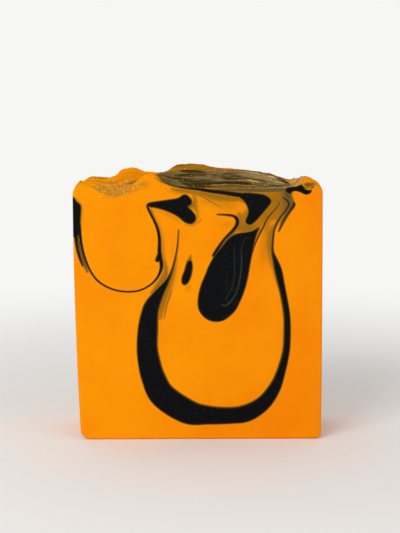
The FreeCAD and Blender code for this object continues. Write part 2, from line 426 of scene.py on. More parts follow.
# Where the black has bled thin and turned the orange amber or olive: long soft strokes.
VEILS: tuple[Streak | Drop, ...] = (
    Drop("amber field", (
        (9.0, 80.2), (18.0, 80.6), (25.0, 80.6), (29.0, 80.2), (28.6, 77.3), (29.3, 74.9), (27.6, 71.8),
        (25.8, 69.0), (23.4, 69.6), (20.6, 69.4), (18.4, 67.6), (16.0, 66.2), (12.6, 65.8),
        (12.0, 68.0), (12.6, 71.2), (15.0, 74.0), (13.0, 77.6), (9.0, 78.6),
    ), 1.2, 0.5),
    Streak("rim strip", (
        (-9.0, 81.0, 0.1), (2.0, 79.6, 0.3), (8.0, 79.3, 0.5), (14.0, 79.1, 0.6), (21.0, 79.0, 0.7),
        (27.0, 79.3, 0.8),
    ), 0.5, 0.5, 0.72),
    Streak("rim shade", (
        (4.0, 79.3, 0.2), (9.0, 79.2, 0.5), (14.0, 79.1, 0.6), (20.0, 79.0, 0.62), (26.0, 79.2, 0.6),
    ), 0.4, 0.4, 1.1),
    Streak("fold foot", (
        (-13.4, 83.2, 0.2), (-11.4, 82.0, 0.4), (-9.0, 81.0, 0.4), (-6.0, 80.2, 0.3),
    ), 0.7, 0.7, 0.75),
    Streak("olive mouth", (
        (26.9, 79.6, 1.6), (26.8, 77.8, 1.9), (26.9, 75.9, 1.5), (26.4, 73.6, 0.9), (25.4, 71.4, 0.6),
        (24.2, 69.2, 0.3),
    ), 1.1, 0.7, 0.85),
    Streak("dark mouth", (
        (27.4, 79.4, 0.9), (27.3, 78.2, 1.2), (27.9, 76.8, 1.0), (28.6, 75.4, 0.6), (28.2, 74.2, 0.4),
    ), 0.7, 0.5, 1.1),
    Streak("pit wall", ((34.6, 79.5, 0.1), (35.2, 80.3, 0.3), (35.2, 81.4, 0.3)), 0.3, 0.3, 1.0),
    Streak("small drop shade", ((-2.4, 59.0, 0.1), (-2.6, 58.0, 0.5), (-3.0, 56.6, 0.9)), 0.6, 0.6, 0.75),
    Streak("stripe fill", (
        (-37.2, 66.0, 0.2), (-36.95, 63.5, 0.4), (-36.45, 60.5, 0.5), (-35.75, 57.8, 0.55),
        (-35.0, 55.5, 0.5), (-34.4, 53.8, 0.3),
    ), 0.4, 0.4, 1.05),
    Streak("stripe halo", (
        (-38.2, 77.1, 0.2), (-37.2, 76.0, 0.3), (-36.3, 75.1, 0.3), (-35.9, 73.8, 0.35), (-36.1, 70.5, 0.3),
        (-36.3, 67.0, 0.3),
    ), 0.7, 0.7, 0.5),
    Streak("arrow tip shade", ((-15.4, 73.7, 0.3), (-14.6, 72.5, 0.4), (-13.6, 70.6, 0.2)), 0.4, 0.4, 0.8),
    Streak("arrow notch", ((-4.6, 74.6, 0.2), (-2.6, 74.6, 0.5), (-0.8, 75.6, 0.3)), 0.6, 0.6, 0.6),
    Streak("olive fold", (
        (28.9, 75.6, 0.5), (28.0, 73.3, 0.7), (26.9, 71.3, 0.8), (25.9, 69.4, 0.6), (25.1, 67.4, 0.3),
    ), 0.4, 0.4, 0.95),
    Streak("amber run", (
        (24.8, 77.6, 1.6), (23.2, 74.6, 1.7), (21.4, 71.6, 1.5), (19.6, 69.0, 1.2), (17.9, 66.6, 1.0),
        (16.6, 65.2, 0.8),
    ), 1.2, 1.0, 0.42),
    Streak("under the crest drop", (
        (13.6, 71.5, 0.5), (14.2, 68.2, 1.0), (16.0, 67.2, 1.0), (18.2, 67.6, 0.8), (20.2, 70.0, 0.6),
    ), 0.9, 0.9, 0.55),
    Streak("rim amber", (
        (-8.0, 79.6, 0.5), (-3.0, 78.9, 0.8), (2.0, 78.2, 1.2), (7.0, 77.2, 1.3), (12.0, 76.6, 0.9),
        (14.5, 75.5, 0.6),
    ), 1.0, 0.8, 0.5),
    Streak("arrow halo", (
        (-1.9, 79.0, 0.5), (-1.3, 76.6, 0.6), (-1.2, 74.5, 0.6), (-0.5, 72.4, 0.5), (-0.4, 70.4, 0.4),
        (-1.6, 68.4, 0.4), (-4.0, 68.6, 0.3),
    ), 0.9, 0.9, 0.45),
    Streak("arrow foot", (
        (-14.8, 73.4, 0.3), (-11.5, 72.6, 0.6), (-8.0, 71.0, 0.7), (-5.5, 69.2, 0.4),
    ), 0.6, 1.4, 0.3),
    Streak("hook shadow", (
        (12.6, 71.5, 0.6), (13.2, 69.6, 0.8), (12.6, 67.6, 0.8), (11.2, 66.2, 0.6), (9.4, 64.3, 0.4),
        (7.9, 62.9, 0.3),
    ), 1.0, 1.0, 0.6),
    Streak("hook gap", (
        (11.2, 66.4, 0.3), (9.6, 64.7, 0.4), (8.0, 62.9, 0.4), (6.6, 61.0, 0.4), (5.2, 59.0, 0.2),
    ), 0.4, 0.4, 1.0),
    Streak("loop halo", (
        (-14.4, 72.2, 0.3), (-12.6, 69.0, 0.5), (-11.6, 65.0, 0.6), (-11.3, 61.0, 0.7), (-11.0, 57.0, 0.7),
    ), 1.2, 0.6, 0.5),
    Streak("right band shade", (
        (24.6, 70.0, 0.2), (22.8, 67.0, 0.5), (22.0, 63.5, 0.7), (21.9, 60.0, 0.6), (22.6, 56.0, 0.5),
        (24.6, 50.0, 0.5),
    ), 0.5, 1.0, 0.55),
    Streak("tear rim", (
        (18.9, 66.8, 0.25), (17.6, 64.2, 0.35), (16.6, 61.5, 0.4), (15.9, 58.5, 0.4), (15.4, 55.5, 0.35),
    ), 0.4, 0.4, 0.75),
    Streak("swag neck", (
        (-7.0, 58.0, 0.15), (-7.4, 54.8, 0.45), (-8.3, 51.4, 0.8), (-9.5, 48.0, 1.0),
        (-10.9, 44.0, 1.0), (-12.1, 39.0, 0.6),
    ), 1.5, 0.8, 0.62),
    Streak("loop to swag", (
        (-11.0, 59.5, 0.2), (-10.6, 56.6, 0.6), (-10.3, 54.0, 0.9), (-11.0, 51.4, 1.1), (-12.6, 49.2, 0.9),
        (-14.6, 47.0, 0.4),
    ), 0.8, 0.8, 0.68),
    Streak("swag outside", (
        (-14.8, 46.6, 0.3), (-16.8, 43.5, 0.4), (-18.3, 39.0, 0.3),
    ), 0.5, 0.5, 0.4),
)


@dataclass(frozen=True)
class Coat:
    """One colour laid over what is below it, as far as a value has risen from low to high."""

    value: bpy.types.NodeSocket
    low: float
    high: float
    colour: Any     # a colour, or the output that gives it


def coated(tree: bpy.types.NodeTree, ground: Any, *coats: Coat) -> bpy.types.NodeSocket:
    """Lay coats over a ground, one after the other.

    Args:
        tree: The tree that gets the nodes.
        ground: The colour at the bottom, or the output that gives it.
        coats: The coats, from the lowest to the highest.

    Returns:
        The output that gives the colour on top.
    """
    for coat in coats:
        share = add_node(tree, "ShaderNodeMapRange", {0: coat.value, 1: coat.low, 2: coat.high},
                         interpolation_type="SMOOTHSTEP").outputs[0]
        ground = add_node(tree, "ShaderNodeMix", {0: share, 6: ground, 7: coat.colour},
                          data_type="RGBA").outputs[2]
    return ground


@dataclass(frozen=True)
class SoapFinish:
    """Cold-process soap: cast, cut with a wire and cured, so its faces are satin, waxy and a little clear."""

    orange: str = "f99600"
    # deep_orange is the mottle's deeper orange, and also the painted shade towards the right.
    deep_orange: str = "f38600"
    haze: str = "9f690d"
    bleed: str = "4c360a"
    black: str = "050608"
    black_grain: str = "0f1013"
    fleck: str = "44453f"
    drag: str = "44453f"
    olive_dark: str = "3a2f12"
    olive: str = "66542b"
    olive_light: str = "957d58"
    mica: str = "c07a14"
    pale_gold_and_glint: str = "ecb348"
    cut_roughness: float = 0.4
    worked_roughness: float = 0.36
    grain_roughness: float = 0.14   # what the grain adds to either
    cut_gloss: float = 0.05
    worked_gloss: float = 0.0
    ior: float = 1.45
    clearness: float = 0.1          # share of the light that goes in and comes out again
    seep_mm: float = 0.5            # how far it goes
    grain_mm: float = 0.6
    fleck_mm: float = 0.36
    pale_mm: float = 1.3
    mottle_mm: float = 18.0
    streak_mm: float = 1.3
    streak_stretch: float = 10.0    # how much longer than wide the spoon drew its streaks
    relief_mm: float = 0.05

    def build(self) -> bpy.types.Material:
        """Make the material that reads the slice's pour, drag, tone and ledge attributes."""
        # The eye gets a deep, waxy orange with hardly any gloss where it was cut, with a painted shade that
        # deepens it a little towards the right, and a dull gritty grain where the spoon worked it, so that
        # only the mica glints there, as real flakes and as painted glints.
        material, tree = blank_material("cold_process_soap")
        place = add_node(tree, "ShaderNodeTexCoord").outputs["Object"]
        tone = add_node(tree, "ShaderNodeAttribute", attribute_name="tone").outputs
        haze, olive, mica = add_node(tree, "ShaderNodeSeparateColor", {0: tone["Color"]}).outputs
        grain = add_node(tree, "ShaderNodeTexNoise", {
            "Vector": place, "Scale": 1.0 / (self.grain_mm * MM), "Detail": 4.0, "Roughness": 0.6,
        }).outputs[0]
        colour = self.cut_colour(tree, place, haze)
        colour = self.worked_colour(tree, place, colour, olive, mica, grain)
        rough, gloss, depth = (
            add_node(tree, "ShaderNodeMapRange", {0: tone["Alpha"], 3: on_cut, 4: on_top}).outputs[0]
            for on_cut, on_top in ((self.cut_roughness, self.worked_roughness),
                                   (self.cut_gloss, self.worked_gloss), (0.1, 1.0))
        )
        rough = add_node(tree, "ShaderNodeMath", {0: grain, 1: self.grain_roughness, 2: rough},
                         operation="MULTIPLY_ADD").outputs[0]
        height = add_node(tree, "ShaderNodeMath", {0: grain, 1: depth}, operation="MULTIPLY").outputs[0]
        normal = add_node(tree, "ShaderNodeBump", {
            "Height": height, "Strength": 0.7, "Distance": self.relief_mm * MM,
        }).outputs[0]
        shader = add_node(tree, "ShaderNodeBsdfPrincipled", {
            "Base Color": colour, "Roughness": rough, "Normal": normal, "IOR": self.ior,
            "Specular IOR Level": gloss, "Subsurface Weight": self.clearness,
            "Subsurface Radius": (1.0, 0.4, 0.1), "Subsurface Scale": self.seep_mm * MM,
        })
        add_node(tree, "ShaderNodeOutputMaterial", {"Surface": shader.outputs[0]})
        return material

    def inked(self, tree: bpy.types.NodeTree, name: str) -> bpy.types.NodeSocket:
        """How deep a place lies in a stroke: below 0 outside, 1 and more where the ink is full."""
        banks = add_node(tree, "ShaderNodeAttribute", attribute_name=name).outputs["Vector"]
        left, right, ink = add_node(tree, "ShaderNodeSeparateXYZ", {0: banks}).outputs
        nearest = add_node(tree, "ShaderNodeMath", {0: left, 1: right}, operation="MINIMUM").outputs[0]
        cover = add_node(tree, "ShaderNodeMapRange", {0: nearest, 1: -1.0}, interpolation_type="SMOOTHSTEP")
        return add_node(tree, "ShaderNodeMath", {0: cover.outputs[0], 1: ink},
                        operation="MULTIPLY").outputs[0]

    def flecks(self, tree: bpy.types.NodeTree, place: bpy.types.NodeSocket, size: float,
               share: float) -> bpy.types.NodeSocket:
        """Sparse round flecks of a size in mm, in about that share of the cells."""
        cells = add_node(tree, "ShaderNodeTexVoronoi", {"Vector": place, "Scale": 1.0 / (size * MM)}).outputs
        chance = add_node(tree, "ShaderNodeSeparateColor", {0: cells["Color"]}).outputs[0]
        picked = add_node(tree, "ShaderNodeMapRange", {0: chance, 1: 1.0 - share}).outputs[0]
        dot = add_node(tree, "ShaderNodeMapRange", {0: cells["Distance"], 1: 0.42, 2: 0.1}).outputs[0]
        return add_node(tree, "ShaderNodeMath", {0: picked, 1: dot}, operation="MULTIPLY").outputs[0]

    def cut_colour(self, tree: bpy.types.NodeTree, place: bpy.types.NodeSocket,
                   haze: bpy.types.NodeSocket) -> bpy.types.NodeSocket:
        """Colour of the cut and mould faces: orange with a painted shade towards the right, brown haze,
        bleeding edges, and black with flecks.
        """
        mottle = add_node(tree, "ShaderNodeTexNoise", {
            "Vector": place, "Scale": 1.0 / (self.mottle_mm * MM), "Detail": 3.0,
        }).outputs[0]
        along = add_node(tree, "ShaderNodeSeparateXYZ", {0: place}).outputs[0]
        # Painted shade makes the orange a little deeper towards the right, and the mottle clouds it
        # everywhere.
        painted_side_shade = add_node(tree, "ShaderNodeMapRange", {
            0: along, 1: -0.03, 2: 0.038, 3: -0.15, 4: 0.15,
        }).outputs[0]
        deep = add_node(tree, "ShaderNodeMath", {0: mottle, 1: painted_side_shade}, operation="ADD").outputs[0]
        dust = add_node(tree, "ShaderNodeTexNoise", {
            "Vector": place, "Scale": 1.0 / (self.fleck_mm * MM), "Detail": 3.0,
        }).outputs[0]
        ink = self.inked(tree, "pour")
        dark = coated(
            tree, linear(self.black),
            Coat(dust, 0.35, 0.7, linear(self.black_grain)),
            Coat(self.flecks(tree, place, self.fleck_mm, 0.2), 0.0, 1.0, linear(self.fleck)),
            Coat(self.inked(tree, "drag"), 0.0, 1.0, linear(self.drag)),
        )
        return coated(
            tree, linear(self.orange),
            Coat(deep, 0.25, 0.8, linear(self.deep_orange)),
            Coat(self.flecks(tree, place, self.pale_mm, 0.06), 0.0, 2.2, linear(self.pale_gold_and_glint)),
            Coat(ink, 0.02, 0.4, linear(self.haze)),
            Coat(haze, 0.0, 0.6, linear(self.haze)),
            Coat(haze, 0.5, 0.95, linear(self.olive)),
            Coat(ink, 0.2, 0.6, linear(self.bleed)),
            Coat(ink, 0.45, 0.95, dark),
        )

    def worked_colour(self, tree: bpy.types.NodeTree, place: bpy.types.NodeSocket,
                      colour: bpy.types.NodeSocket, olive: bpy.types.NodeSocket,
                      mica: bpy.types.NodeSocket, grain: bpy.types.NodeSocket) -> bpy.types.NodeSocket:
        """Colour of the worked top: olive-brown streaks, pale ledges with painted highlights on the fold
        lips, and gold mica with painted glints, over the cut colour.
        """
        drawn = add_node(tree, "ShaderNodeMapping", {
            "Vector": place, "Scale": (1.0 / self.streak_stretch, 1.0, 1.0),
        }).outputs[0]
        streaks = add_node(tree, "ShaderNodeTexNoise", {
            "Vector": drawn, "Scale": 1.0 / (self.streak_mm * MM), "Detail": 3.0, "Roughness": 0.6,
        }).outputs[0]
        # The ledge attribute carries the top's pale and dark bands, with painted highlights on the fold lips
        # and a painted shadow near the right corner.
        shade = add_node(tree, "ShaderNodeAttribute", attribute_name="ledge").outputs["Fac"]
        for layer, weight in ((streaks, 1.0), (grain, 0.35)):
            shade = add_node(tree, "ShaderNodeMath", {0: layer, 1: weight, 2: shade},
                             operation="MULTIPLY_ADD").outputs[0]
        brown = coated(
            tree, linear(self.olive_dark),
            Coat(shade, 0.65, 1.0, linear(self.olive)),
            Coat(shade, 0.9, 1.35, linear(self.olive_light)),
            Coat(shade, 1.35, 1.6, linear(self.pale_gold_and_glint)),
        )
        # Painted glints: where the grain rises, sparse spots of the mica turn pale gold.
        gold = coated(tree, linear(self.mica), Coat(grain, 0.5, 0.72, linear(self.pale_gold_and_glint)))
        return coated(tree, colour, Coat(olive, 0.0, 1.0, brown), Coat(mica, 0.0, 1.0, gold))


@dataclass(frozen=True)
class Fold:
    """A torn fold of the worked top: a lip with a groove behind it, along a line seen from above."""

    name: str
    line: tuple[tuple[float, float], ...]   # x, and depth behind the front cut, in mm
    lip: float
    groove: float
    ramp: float = 1.6                       # how far the lip's slope reaches in front of it, in mm
    hollow: float = 1.2                     # how far the groove reaches behind it, in mm

    def relief(self, x: np.ndarray, depth: np.ndarray) -> tuple[np.ndarray, np.ndarray]:
        """Height that the fold adds, and how near each place is to its lip.

        Args:
            x: Places along X, in mm.
            depth: Places behind the front cut, in mm.

        Returns:
            Heights in mm, and shares from 0 to 1.
        """
        line = np.array(self.line)
        centre = np.interp(x, line[:, 0], line[:, 1])
        taper = rise(line[0, 0], line[0, 0] + 3.0, x) * rise(line[-1, 0], line[-1, 0] - 3.0, x)
        wobble = 0.35 * lattice_noise(x / 2.3, np.full(x.shape, self.lip * 7.7), 31)
        past = depth - centre - wobble
        front = np.exp(np.minimum(past, 0.0) / self.ramp) * self.lip
        step = rise(0.0, 0.45, past)
        back = -self.groove * np.exp(-np.maximum(past, 0.0) / self.hollow)
        tip = np.exp(-(np.minimum(past, 0.0) / 0.5) ** 2) * (1.0 - step)
        return taper * (front * (1.0 - step) + back * step), taper * tip


@dataclass(frozen=True)
class Patch:
    """A soft patch of colour on the worked top, plain or broken up by the spoon's streaks."""

    spot: tuple[float, float, float, float]     # middle (x, depth) and half sizes, in mm
    plain: float
    streaked: float = 0.0       # how much stronger it is on a streak

    def cover(self, x: np.ndarray, depth: np.ndarray, streaks: np.ndarray) -> np.ndarray:
        """Share of the patch's colour at each place."""
        return (self.plain + self.streaked * streaks) * bump(x, depth, self.spot)


@dataclass
class WorkedTop:
    """The top that a spoon pulled into folds: long ridges, torn ledges, a scoop and a dusting of mica."""

    ridge_mm: float = 1.0
    ridge_height: float = 0.3
    rough_height: float = 0.09
    main_ledge: Fold = Fold("main ledge", (
        (-14.0, 10.5), (-10.0, 11.6), (-5.0, 12.4), (2.0, 12.8), (9.0, 12.4), (17.0, 11.4), (26.0, 9.0),
    ), 0.6, 0.9, 1.8, 1.6)
    folds: tuple[Fold, ...] = (
        Fold("rim ledge", ((2.0, 2.3), (8.0, 2.6), (16.0, 2.4), (24.0, 2.0)), 0.35, 0.3, 0.8, 0.7),
        Fold("low ledge", ((-10.0, 4.4), (0.0, 5.3), (8.0, 4.9), (18.0, 5.2), (27.0, 3.9)), 0.35, 0.35),
        Fold("middle ledge", ((-13.0, 7.6), (-4.0, 8.5), (6.0, 8.1), (15.0, 8.4), (24.0, 6.8)), 0.35, 0.4),
        Fold("crest lip", (
            (-10.5, 16.6), (-5.0, 17.4), (2.0, 18.2), (12.0, 18.4), (25.0, 16.5),
        ), 0.4, 0.6, 1.2),
        Fold("back ledge", ((-20.0, 22.5), (-6.0, 21.6), (8.0, 22.8), (26.0, 21.4)), 0.4, 0.5),
        Fold("scoop lip", ((-24.5, 7.0), (-20.5, 4.0), (-16.5, 1.9), (-12.0, 2.8)), 0.7, 0.5, 1.0),
        Fold("scoop ridge", ((-33.0, 8.5), (-28.0, 9.6), (-23.0, 8.4)), 0.45, 0.4),
        Fold("right fold", ((25.0, 7.0), (29.0, 5.2), (33.0, 4.6), (36.0, 6.0)), 0.5, 0.6, 1.2),
    )
    mounds: tuple[tuple[float, float, float, float, float], ...] = (
        (-37.4, 22.0, 1.9, 14.0, -1.6),     # the left shoulder falls away
        (-33.6, 16.0, 1.5, 9.0, -0.25),
        (-28.0, 16.0, 1.3, 5.0, 0.45),      # the hollow before the knob fills up
        (1.0, 10.6, 14.0, 3.6, -0.75),      # the front fold sinks under its ledge
        (-6.4, 17.0, 1.8, 2.6, 0.4),        # the crest's steep left end
        (-24.5, 16.0, 1.6, 4.0, 1.4),       # the knob's steep left flank
        (-27.2, 16.0, 1.7, 4.0, 0.5),
        (-20.8, 16.0, 2.0, 4.0, 0.3),       # the knob's head
        (-15.2, 14.0, 1.8, 5.0, 0.5),
        (-11.0, 16.5, 1.8, 5.0, -0.7),      # the saddle before the crest
        (-4.8, 17.4, 2.6, 2.6, -0.3),
        (-1.4, 17.4, 2.0, 2.6, -0.32),
        (4.4, 17.4, 2.6, 3.0, 0.35),        # the crest's long tail
        (13.0, 15.0, 6.0, 6.0, -0.3),
        (24.0, 12.0, 3.4, 9.0, 0.7),
        (30.2, 12.0, 1.8, 12.0, -2.1),      # the saddle before the right corner
        (33.0, 10.0, 1.6, 5.0, 0.3),        # the right corner's hump
        (37.0, 12.0, 1.6, 30.0, -0.45),
    )
    # Mica that ran over the rim: middle (x, z) and half sizes in mm, slope and strength.
    spills: tuple[tuple[float, float, float, float, float, float], ...] = (
        (-23.0, 79.0, 6.5, 1.9, 0.25, 0.75),
        (33.2, 79.5, 1.3, 0.22, -0.1, 0.6),
        (-17.0, 80.25, 0.75, 0.24, -0.76, 0.9),
    )
    # Places on the top: middle (x, depth) and half sizes in mm.
    pit: tuple[float, float, float, float] = (33.7, 0.9, 1.7, 1.3)
    pit_depth: float = 1.5
    pit_wall: tuple[float, float, float, float] = (35.3, 1.6, 0.8, 1.0)
    curl: tuple[float, float, float, float] = (30.0, 0.6, 2.2, 1.4)
    curl_height: float = 0.7
    scoop_marks: tuple[float, float, float, float] = (-26.0, 3.0, 7.0, 7.0)
    scoop_dust: tuple[float, float, float, float] = (-26.0, 3.5, 8.0, 6.5)
    hump: tuple[float, float, float, float] = (31.0, 6.0, 3.2, 4.0)
    crest: tuple[float, float, float, float] = (-2.0, 15.8, 9.6, 2.5)
    knob_hollow: tuple[float, float, float, float] = (-19.5, 9.0, 5.0, 1.8)
    smears: tuple[tuple[float, float, float, float], ...] = ((-29.0, 11.5, 6.5, 2.2), (31.0, 14.0, 3.4, 12.0))
    # A painted shadow near the right corner: shadow lays dark olive there, dull darkens its ledges.
    shadow: tuple[float, float, float, float] = (27.6, 9.6, 2.4, 2.0)
    dull: tuple[float, float, float, float] = (27.6, 9.6, 2.6, 2.0)
    back_from: tuple[float, float] = (17.0, 20.0)       # depths over which the back of the top sets in
    amber_and_shade_patches: tuple[Patch, ...] = (
        # The knob's face is darkened: amber tone and painted shade.
        Patch((-20.5, 12.8, 5.5, 3.2), 0.25, 0.15),     # the knob's face
        Patch((-8.6, 16.8, 2.6, 2.6), 0.25, 0.35),      # the crest's left flank
    )
    gold_and_highlight_patches: tuple[Patch, ...] = (
        Patch((33.2, 0.2, 2.0, 0.45), 0.7),             # the rim before the pit
        # Painted highlight: gold streaks along the crest's lip.
        Patch((0.0, 18.0, 11.0, 0.9), 0.0, 0.5),        # the crest's lip
        # Painted highlight: gold along the rim beside the scoop.
        Patch((-18.0, 0.3, 4.5, 0.6), 0.45),            # the rim beside the scoop
    )

    def ridges(self, x: np.ndarray, depth: np.ndarray, seed: int) -> np.ndarray:
        """Long sharp ridges that the spoon pulled out along X: 1 on a ridge and -1 between two."""
        drift = depth + 0.05 * x + 0.9 * lattice_noise(x / 13.0, depth / 7.0, seed)
        return 1.0 - 2.0 * np.abs(lattice_noise(x / 12.0, drift / self.ridge_mm, seed + 1)) ** 0.7

    def climb(self, x: np.ndarray, depth: np.ndarray) -> np.ndarray:
        """How far up the front fold each place lies: 0 on the rim and 1 on the main ledge."""
        line = np.array(self.main_ledge.line)
        return depth / np.interp(x, line[:, 0], line[:, 1])

    def folded(self, x: np.ndarray, depth: np.ndarray) -> np.ndarray:
        """How much each place belongs to the dark folded part."""
        edge = layered_noise(x / 3.0, depth / 2.0, 9)
        front = rise(-15.1, -13.1, x + 0.55 * (depth - 3.0) + 0.8 * edge) * rise(31.0, 28.0, x + edge)
        front = front * rise(1.16, 1.04, self.climb(x, depth))
        shelf = rise(5.0, 14.0, x) * rise(31.0, 26.0, x) * rise(1.0, 1.06, self.climb(x, depth))
        shelf = shelf * rise(17.8, 16.6, depth)
        drawn = self.ridges(x, depth, 13)
        likely = 1.3 * rise(-26.0, 2.0, x) * rise(34.0, 16.0, x) - 0.3
        rear = rise(18.4, 19.4, depth) * rise(0.0, 0.8, drawn + likely) * rise(-25.0, -17.0, x)
        hollow = bump(x, depth, self.knob_hollow) * rise(-0.8, 0.2, drawn)
        return np.clip(front + 0.85 * shelf + 0.85 * rear + 0.9 * hollow, 0.0, 1.0)

    def smeared(self, x: np.ndarray, depth: np.ndarray) -> np.ndarray:
        """How much thin brown soap lies smeared over the orange: behind the scoop and on the right hump."""
        behind, right = (bump(x, depth, spot) for spot in self.smears)
        return np.maximum(0.75 * behind, rise(0.25, 0.7, right))

    def relief(self, x: np.ndarray, depth: np.ndarray) -> tuple[np.ndarray, np.ndarray]:
        """Height that the spoon's marks add to the smooth top, and how pale the ledges are there, with a
        painted highlight on each fold's lip and a painted shadow near the right corner.
        """
        folded = self.folded(x, depth)
        broad = self.ridges(x, depth, 5)
        fine = lattice_noise(x / 5.0, (depth + 0.05 * x) / 0.7, 15)
        height = self.ridge_height * (0.3 + 0.7 * folded) * (0.6 * broad + 0.4 * fine)
        climb = self.climb(x, depth)
        pale = 0.32 * rise(0.45, 0.9, climb) * rise(1.3, 1.0, climb) * rise(-6.0, 10.0, x)
        pale = pale + 0.25 * rise(-3.0, -9.0, x) * rise(1.2, 1.0, climb) + 0.25 * rise(19.0, 21.0, depth)
        pale = pale + 0.34 * rise(0.0, 0.9, broad) + 0.24 * fine - 0.05
        pale = pale + 0.34 * rise(9.0, 19.0, x) + 0.3 * self.smeared(x, depth)
        # Painted shadow: the ledges near the right corner lose their pale.
        pale = pale - 0.8 * bump(x, depth, self.dull)
        # Painted highlight: each fold also makes its lip paler.
        for fold in (self.main_ledge, *self.folds):
            lift, tip = fold.relief(x, depth)
            height = height + lift
            pale = pale + 0.4 * tip * (0.7 + 0.6 * fine)
        for *spot, lift in self.mounds:
            height = height + lift * bump(x, depth, spot)
        height = height + self.rough_height * layered_noise(x / 0.9, depth / 0.8, 21)
        height = height + 0.18 * layered_noise(x / 3.1, depth / 2.3, 27)
        marks = layered_noise(x / 0.7, (depth + 0.15 * x) / 3.2, 33)
        height = height + 0.16 * bump(x, depth, self.scoop_marks) * marks
        height = height - self.pit_depth * bump(x, depth, self.pit) ** 1.5
        height = height + self.curl_height * bump(x, depth, self.curl)
        return height, pale

    def tone(self, x: np.ndarray, depth: np.ndarray) -> tuple[np.ndarray, np.ndarray, np.ndarray]:
        """Shares of amber haze, dark folded soap and gold mica at each place of the top. The amber also lays
        painted shade on the knob's face, the olive a painted shadow near the right corner, and the gold
        painted highlights along the crest's lip and the rim beside the scoop.
        """
        patchy = layered_noise(x / 2.2, depth / 1.4, 41)
        streaks = rise(-0.2, 0.9, self.ridges(x, depth, 17))
        back = rise(*self.back_from, depth)
        crest = rise(0.1, 0.5, bump(x, depth, self.crest))
        pit = bump(x, depth, self.pit)
        rim = rise(2.0, 6.0, x) * rise(25.0, 21.0, x) * rise(0.2, 0.12, self.climb(x, depth) + 0.03 * patchy)
        amber = [
            (0.48 + 0.3 * streaks) * crest,
            0.6 * rim,
            0.95 * rise(0.8, 0.2, depth) * rise(9.0, 13.0, x) * rise(27.5, 25.0, x),    # along the rim
            0.85 * rise(0.2, 0.6, pit),
            (0.2 + 0.25 * streaks) * back,
            *(patch.cover(x, depth, streaks) for patch in self.amber_and_shade_patches),
        ]
        olive = [
            self.folded(x, depth) * (1.0 - 0.62 * crest) * (1.0 - 0.5 * rim),
            (0.68 + 0.25 * streaks) * self.smeared(x, depth),
            # Painted shadow near the right corner, laid as dark olive.
            rise(0.1, 0.7, bump(x, depth, self.shadow)),
            0.8 * bump(x, depth, self.pit_wall),
        ]
        mica = [
            0.85 * rise(0.2, 0.8, bump(x, depth, self.scoop_dust) + 0.3 * patchy),
            0.5 * rise(0.35, 0.8, bump(x, depth, self.hump) + 0.25 * patchy),
            0.45 * rise(0.2, 1.2, patchy) * back,
            *(patch.cover(x, depth, streaks) for patch in self.gold_and_highlight_patches),
        ]
        amber, olive, mica = (np.clip(np.max(covers, axis=0), 0.0, 1.0) for covers in (amber, olive, mica))
        return amber, olive, mica


@dataclass
class SliceForm:
    """The smooth outside of the slice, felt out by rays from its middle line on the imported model."""

    node: bpy.types.Object
    middle: float = 42.0
    top_aim: float = 82.0

    def __post_init__(self) -> None:
        """Measure the box and get the model ready for rays."""
        low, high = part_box(CAD_NODE)
        self.low = np.array(low) / MM
        self.high = np.array(high) / MM
        self.thick = self.high[1] - self.low[1]
        corners = [vertex.co / MM for vertex in self.node.data.vertices]
        sides = [tuple(face.vertices) for face in self.node.data.polygons]
        self.tree = BVHTree.FromPolygons(corners, sides)

    def from_sides(self, x: np.ndarray) -> np.ndarray:
        """Distance of each place from the nearer mould side, in mm."""
        return np.minimum(x - self.low[0], self.high[0] - x)

    def ring(self, aims: np.ndarray, y: float) -> np.ndarray:
        """Outline of the slice at a depth.

        Args:
            aims: Rows of (x, z) that the rays aim at, in mm.
            y: Place along Y, in mm.

        Returns:
            Rows of (x, z) on the outside.
        """
        start = Vector((0.0, y, self.middle))
        found = []
        for aim_x, aim_z in aims:
            way = Vector((aim_x, 0.0, aim_z - self.middle)).normalized()
            spot = self.tree.ray_cast(start, way)[0]
            found.append((spot.x, spot.z))
        return np.array(found)


